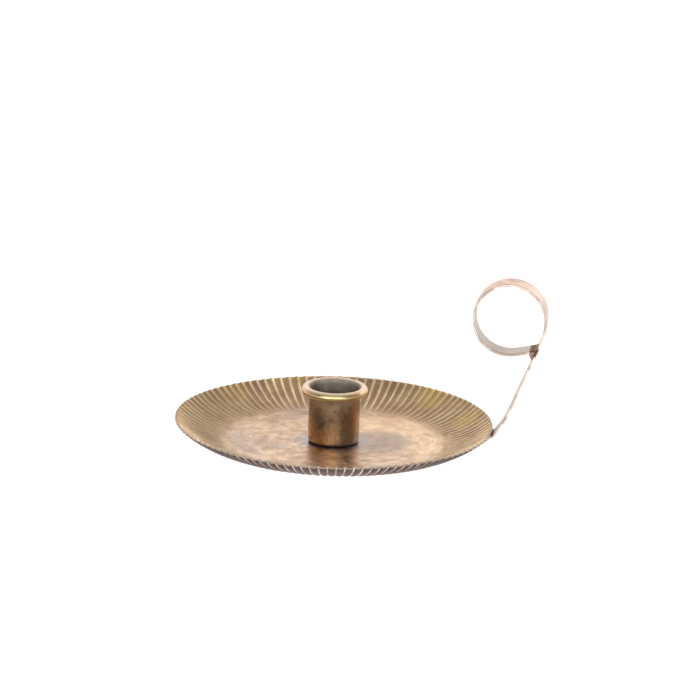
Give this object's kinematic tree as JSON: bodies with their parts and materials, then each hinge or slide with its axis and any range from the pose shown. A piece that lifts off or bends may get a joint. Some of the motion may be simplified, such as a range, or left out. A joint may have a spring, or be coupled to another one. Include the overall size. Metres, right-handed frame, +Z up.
{
  "type": "chamberstick",
  "caption": "Brass chamberstick: a round dish with a fluted rim, a beaded cup that holds a candle, and a flat strap handle curled into a finger ring.",
  "frame": {"origin": "centre of the dish's underside, on the surface that it stands on", "axes": "+Z up along the candle's axis, +X from the dish's axis towards the handle"},
  "size_m": [0.1743, 0.1504, 0.0839],
  "materials": {
    "dish_brass": "aged, mottled, lightly polished",
    "socket_brass": "aged, brown patina, polished bead",
    "rivet_brass": "aged",
    "strap_brass": "worn bright, satin",
    "solder": "tarnished, rough"
  },
  "bodies": {
    "root": {"dish": "dish_brass", "candle_socket": "socket_brass", "socket_rivet": "rivet_brass", "handle_strap": "strap_brass", "foot_solder": "solder", "loop_solder": "solder"}
  },
  "joints": []
}
